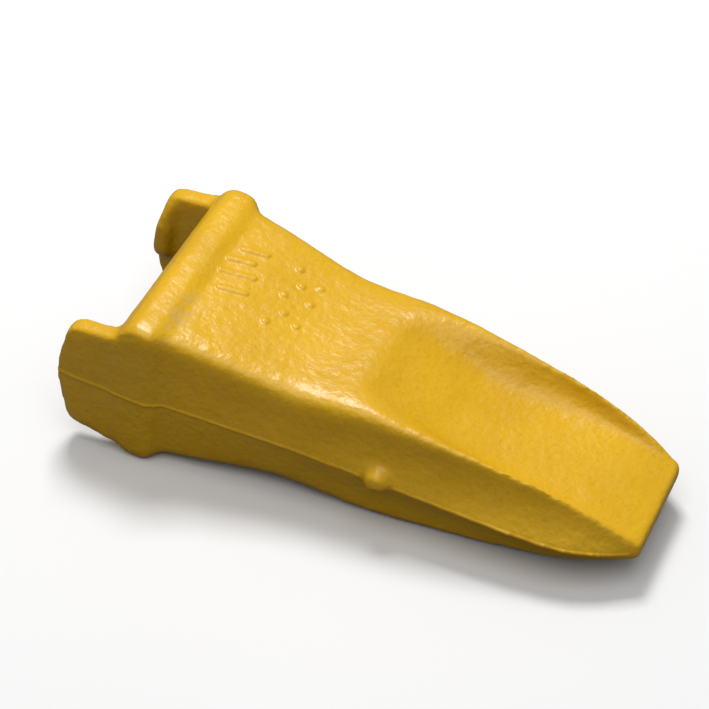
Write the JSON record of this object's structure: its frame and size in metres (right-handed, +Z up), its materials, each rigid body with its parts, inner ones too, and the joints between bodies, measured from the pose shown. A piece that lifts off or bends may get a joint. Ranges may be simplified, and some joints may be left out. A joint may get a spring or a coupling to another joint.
{
  "type": "bucket tooth",
  "caption": "Cast steel chisel tooth: a tapered nose socket between two ears, a raised collar, a dished blade, a cross pin and a split retainer ring.",
  "frame": {"origin": "middle of the tooth's box on the floor that it rests on, collar and heel down", "axes": "+X from the socket mouth towards the cutting edge, +Y towards the ear with the open pin bore, +Z up"},
  "size_m": [0.285, 0.115, 0.0858],
  "materials": {
    "yellow_enamel": "glossy yellow enamel over a fine sand-cast surface",
    "pin_steel": "machined steel with a light oil film",
    "spring_steel": "dark tempered spring steel"
  },
  "bodies": {
    "tooth": {"tooth_casting": "yellow_enamel"},
    "pin": {"retaining_pin": "pin_steel"},
    "ring": {"retainer_ring": "spring_steel"}
  },
  "joints": [
    {"name": "pin_slide", "type": "slide", "parent": "tooth", "child": "pin", "axis": [0, 1, 0], "range_m": [0, 0.112]},
    {"name": "ring_slide", "type": "slide", "parent": "tooth", "child": "ring", "axis": [0, 1, 0], "range_m": [0, 0.012]}
  ]
}
